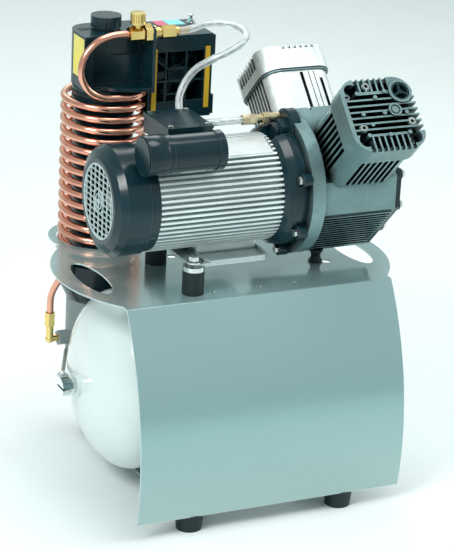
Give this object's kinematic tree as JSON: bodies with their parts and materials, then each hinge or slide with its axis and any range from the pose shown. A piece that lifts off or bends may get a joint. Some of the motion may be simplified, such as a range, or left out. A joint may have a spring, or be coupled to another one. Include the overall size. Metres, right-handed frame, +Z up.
{
  "type": "air compressor",
  "caption": "Floor-standing oil-free piston air compressor on a horizontal tank, with a V pump, finned motor, bent cover sheet and a coil-wrapped membrane dryer column.",
  "frame": {"origin": "on the floor under the middle of the machine's bounding box", "axes": "+Z up, +X along the motor shaft towards the pump, front faces -Y"},
  "size_m": [0.486, 0.436, 0.6513],
  "materials": {
    "tank_white": "smooth gloss paint",
    "cover_silver": "satin silver paint",
    "bracket_grey": "painted steel strip",
    "soft_rubber": "moulded rubber",
    "zinc_steel": "zinc-plated steel",
    "cast_alloy": "raw cast aluminium",
    "extruded_alloy": "extruded aluminium fins",
    "plain_plate": "plain plate",
    "black_paint": "black satin paint",
    "black_plastic": "moulded black plastic",
    "pale_grille": "pale guard bars",
    "grey_plastic": "grey moulded plastic",
    "copper_tube": "bare copper tube",
    "brass": "turned brass",
    "clear_hose": "clear braided hose",
    "bright_steel": "plated fitting",
    "feed_plastic": "plastic tube",
    "yellow_panel": "yellow panel",
    "machined_steel": "machined steel",
    "forged_iron": "cast iron",
    "rod_alloy": "cast alloy",
    "membrane_body": "hollow-fibre cartridge"
  },
  "bodies": {
    "root": {"tank_shell": "tank_white", "cover_sheet": "cover_silver", "tank_brackets": "bracket_grey", "rubber_feet": "soft_rubber", "rubber_buffers": "soft_rubber", "buffer_bolts": "zinc_steel", "case_bolts": "zinc_steel", "housing_screws": "zinc_steel", "head_bolts": "zinc_steel", "motor_foot": "cast_alloy", "crankcase": "cast_alloy", "cylinder_front": "cast_alloy", "cylinder_rear": "cast_alloy", "head_front": "cast_alloy", "head_rear": "cast_alloy", "valve_plates": "cast_alloy", "stator_housing": "extruded_alloy", "rating_plate": "plain_plate", "end_shield_fan": "black_paint", "end_shield_drive": "black_paint", "crankcase_cover": "black_paint", "fan_cover": "black_plastic", "capacitor": "black_plastic", "terminal_box": "black_plastic", "terminal_lid": "black_plastic", "manifold_block": "black_plastic", "dryer_head": "black_plastic", "fan_box": "black_plastic", "lower_collar": "black_plastic", "dryer_tube": "black_plastic", "intake_filters": "black_plastic", "fan_grille": "pale_grille", "lower_housing": "grey_plastic", "cooling_coil": "copper_tube", "inlet_union": "brass", "inlet_elbow": "brass", "manifold_fitting": "brass", "safety_valve_body": "brass", "pressure_hose": "clear_hose", "tank_end_fitting": "bright_steel", "feed_tube": "feed_plastic", "box_liners": "yellow_panel", "label_patches": "yellow_panel", "main_bearings": "machined_steel", "stator_core": "machined_steel", "membrane_cartridge": "membrane_body"},
    "crank": {"motor_shaft": "machined_steel", "rotor_core": "machined_steel", "crank_throw": "forged_iron", "motor_fan": "black_plastic"},
    "dowel_link": {"crank_dowel": "machined_steel"},
    "screw_link": {"crank_end_screw": "machined_steel"},
    "piston_front": {"piston_front": "rod_alloy"},
    "piston_rear": {"piston_rear": "rod_alloy"},
    "rod_front": {"rod_front": "rod_alloy"},
    "rod_rear": {"rod_rear": "rod_alloy"},
    "cooling_fan": {"dryer_fan": "black_plastic"},
    "filter_cap": {"filter_cap": "black_plastic"},
    "valve_cap": {"safety_valve_cap": "brass"},
    "drain_knob": {"drain_knob": "bright_steel"}
  },
  "joints": [
    {"name": "crank_turn", "type": "hinge", "parent": "root", "child": "crank", "pos_m": [0, -0.0522, 0.433], "axis": [1, 0, 0], "continuous": true},
    {"name": "dowel_turn", "type": "hinge", "parent": "crank", "child": "dowel_link", "pos_m": [0.099, -0.0522, 0.428], "axis": [1, 0, 0], "continuous": true},
    {"name": "front_piston_guide", "type": "hinge", "parent": "dowel_link", "child": "piston_front", "pos_m": [0.146, -0.0472, 0.428], "axis": [1, 0, 0], "continuous": true},
    {"name": "end_screw_turn", "type": "hinge", "parent": "crank", "child": "screw_link", "pos_m": [0.156, -0.0522, 0.428], "axis": [1, 0, 0], "continuous": true},
    {"name": "rear_piston_guide", "type": "hinge", "parent": "screw_link", "child": "piston_rear", "pos_m": [0.12, -0.0572, 0.428], "axis": [1, 0, 0], "continuous": true},
    {"name": "front_big_end", "type": "hinge", "parent": "crank", "child": "rod_front", "pos_m": [0.146, -0.0522, 0.423], "axis": [1, 0, 0], "continuous": true},
    {"name": "rear_big_end", "type": "hinge", "parent": "crank", "child": "rod_rear", "pos_m": [0.12, -0.0522, 0.423], "axis": [1, 0, 0], "continuous": true},
    {"name": "dryer_fan_turn", "type": "hinge", "parent": "root", "child": "cooling_fan", "pos_m": [-0.019, 0.1322, 0.549], "axis": [0, 1, 0], "continuous": true},
    {"name": "filter_cap_turn", "type": "hinge", "parent": "root", "child": "filter_cap", "pos_m": [-0.121, 0.1408, 0.627], "axis": [0, 0, 1], "range_deg": [0, 90]},
    {"name": "valve_cap_lift", "type": "slide", "parent": "root", "child": "valve_cap", "axis": [0, 0, 1], "range_m": [0, 0.002], "stiffness_N_per_m": 600},
    {"name": "drain_knob_turn", "type": "hinge", "parent": "root", "child": "drain_knob", "pos_m": [-0.232, -0.0142, 0.154], "axis": [-1, 0, 0], "range_deg": [0, 180]}
  ],
  "couplings": [
    {"joint": "dowel_turn", "follows": "crank_turn", "ratio": -2},
    {"joint": "front_piston_guide", "follows": "crank_turn", "ratio": 1},
    {"joint": "end_screw_turn", "follows": "crank_turn", "ratio": -2},
    {"joint": "rear_piston_guide", "follows": "crank_turn", "ratio": 1},
    {"joint": "front_big_end", "follows": "crank_turn", "ratio": -1},
    {"joint": "rear_big_end", "follows": "crank_turn", "ratio": -1}
  ]
}
